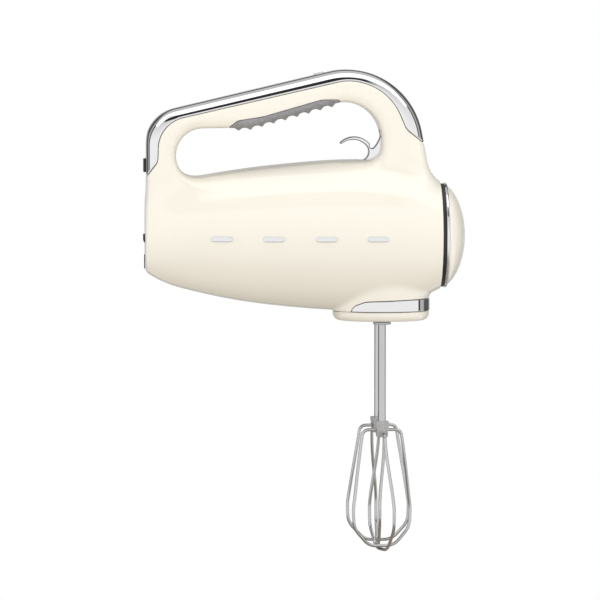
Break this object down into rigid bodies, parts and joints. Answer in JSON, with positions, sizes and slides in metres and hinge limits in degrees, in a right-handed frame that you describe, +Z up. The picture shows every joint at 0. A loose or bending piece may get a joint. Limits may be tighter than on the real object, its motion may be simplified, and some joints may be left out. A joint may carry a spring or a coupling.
{
  "type": "hand mixer",
  "caption": "Electric hand mixer with a loop handle over a bullet-shaped motor body and twin wire whisks that spin in opposite directions.",
  "frame": {"origin": "middle of the hand grip, in the plane where the two housing halves meet", "axes": "+X towards the nose, +Z up out of the handle's top, +Y towards the mixer's left side"},
  "size_m": [0.2009, 0.0842, 0.2995],
  "materials": {
    "cream_shell": "glossy cream enamel-look plastic",
    "chrome_trim": "polished chrome",
    "grip_rubber": "soft matt grey elastomer",
    "dark_seal": "black rubber",
    "smoked_window": "dark glossy lens",
    "grey_button": "satin light grey plastic",
    "inner_plastic": "moulded dark plastic",
    "board_green": "circuit board",
    "motor_steel": "drawn steel",
    "whisk_steel": "polished stainless steel",
    "hub_plastic": "pale grey moulded plastic",
    "bush_bronze": "sintered bronze",
    "copper_wire": "enamelled copper",
    "carbon": "pressed carbon",
    "gear_nylon": "natural nylon",
    "magnet_ferrite": "ferrite"
  },
  "bodies": {
    "mixer": {"left_housing": "cream_shell", "right_housing": "cream_shell", "nose_cap": "cream_shell", "base_collar": "cream_shell", "housing_screws": "motor_steel", "nose_gasket": "dark_seal", "nose_ring": "chrome_trim", "handle_trim": "chrome_trim", "grip_pad": "grip_rubber", "display_window": "smoked_window", "display_module": "board_green", "button_board": "board_green", "button_switches": "inner_plastic", "side_marks": "chrome_trim", "heel_feet": "dark_seal", "cord_gland": "dark_seal", "control_board": "board_green", "collar_trim": "chrome_trim", "motor_can": "motor_steel", "field_magnets": "magnet_ferrite", "front_bell": "motor_steel", "rear_bell": "motor_steel", "motor_bearings": "bush_bronze", "brush_holders": "inner_plastic", "carbon_brushes": "carbon", "motor_screws": "motor_steel", "worm_bush": "bush_bronze", "upper_bushes": "bush_bronze", "lower_bushes": "bush_bronze", "gearbox_base": "inner_plastic", "gearbox_cover": "inner_plastic", "gearbox_screws": "motor_steel", "lever_pin": "motor_steel", "eject_spring": "motor_steel"},
    "rotor": {"motor_shaft": "motor_steel", "armature_core": "motor_steel", "armature_windings": "copper_wire", "commutator": "copper_wire", "cooling_fan": "inner_plastic", "worm": "motor_steel"},
    "near_drive": {"near_gear": "gear_nylon", "near_spindle": "hub_plastic"},
    "far_drive": {"far_gear": "gear_nylon", "far_spindle": "hub_plastic"},
    "near_whisk": {"near_whisk_shaft": "whisk_steel", "near_whisk_hub": "hub_plastic", "near_whisk_wires": "whisk_steel"},
    "far_whisk": {"far_whisk_shaft": "whisk_steel", "far_whisk_hub": "hub_plastic", "far_whisk_wires": "whisk_steel"},
    "lever": {"release_lever": "chrome_trim"},
    "ejector": {"eject_fork": "inner_plastic"},
    "speed_up": {"speed_up_button": "grey_button"},
    "speed_down": {"speed_down_button": "grey_button"}
  },
  "joints": [
    {"name": "rotor_spin", "type": "hinge", "parent": "mixer", "child": "rotor", "pos_m": [0, 0, -0.0845], "axis": [1, 0, 0], "continuous": true},
    {"name": "near_spindle_spin", "type": "hinge", "parent": "mixer", "child": "near_drive", "pos_m": [0.0595, -0.019, -0.0845], "axis": [0, 0, 1], "continuous": true},
    {"name": "far_spindle_spin", "type": "hinge", "parent": "mixer", "child": "far_drive", "pos_m": [0.0595, 0.019, -0.0845], "axis": [0, 0, 1], "continuous": true},
    {"name": "near_whisk_pull", "type": "slide", "parent": "near_drive", "child": "near_whisk", "axis": [0, 0, -1], "range_m": [0, 0.045]},
    {"name": "far_whisk_pull", "type": "slide", "parent": "far_drive", "child": "far_whisk", "axis": [0, 0, -1], "range_m": [0, 0.045]},
    {"name": "lever_pull", "type": "hinge", "parent": "mixer", "child": "lever", "pos_m": [0.064, 0, -0.038], "axis": [0, 1, 0], "range_deg": [0, 12], "stiffness_Nm_per_rad": 0.08, "springref_deg": -28.65},
    {"name": "ejector_drop", "type": "slide", "parent": "mixer", "child": "ejector", "axis": [0, 0, -1], "range_m": [0, 0.0026], "stiffness_N_per_m": 30, "springref_m": -0.002, "deforming": ["eject_spring"]},
    {"name": "speed_up_press", "type": "slide", "parent": "mixer", "child": "speed_up", "axis": [0.2299, 0, -0.9732], "range_m": [0, 0.001], "stiffness_N_per_m": 300, "springref_m": -0.003},
    {"name": "speed_down_press", "type": "slide", "parent": "mixer", "child": "speed_down", "axis": [0.2299, 0, -0.9732], "range_m": [0, 0.001], "stiffness_N_per_m": 300, "springref_m": -0.003}
  ],
  "couplings": [
    {"joint": "near_spindle_spin", "follows": "rotor_spin", "ratio": 0.033333},
    {"joint": "far_spindle_spin", "follows": "rotor_spin", "ratio": -0.033333},
    {"joint": "ejector_drop", "follows": "lever_pull", "m_per_rad": 0.012414}
  ]
}
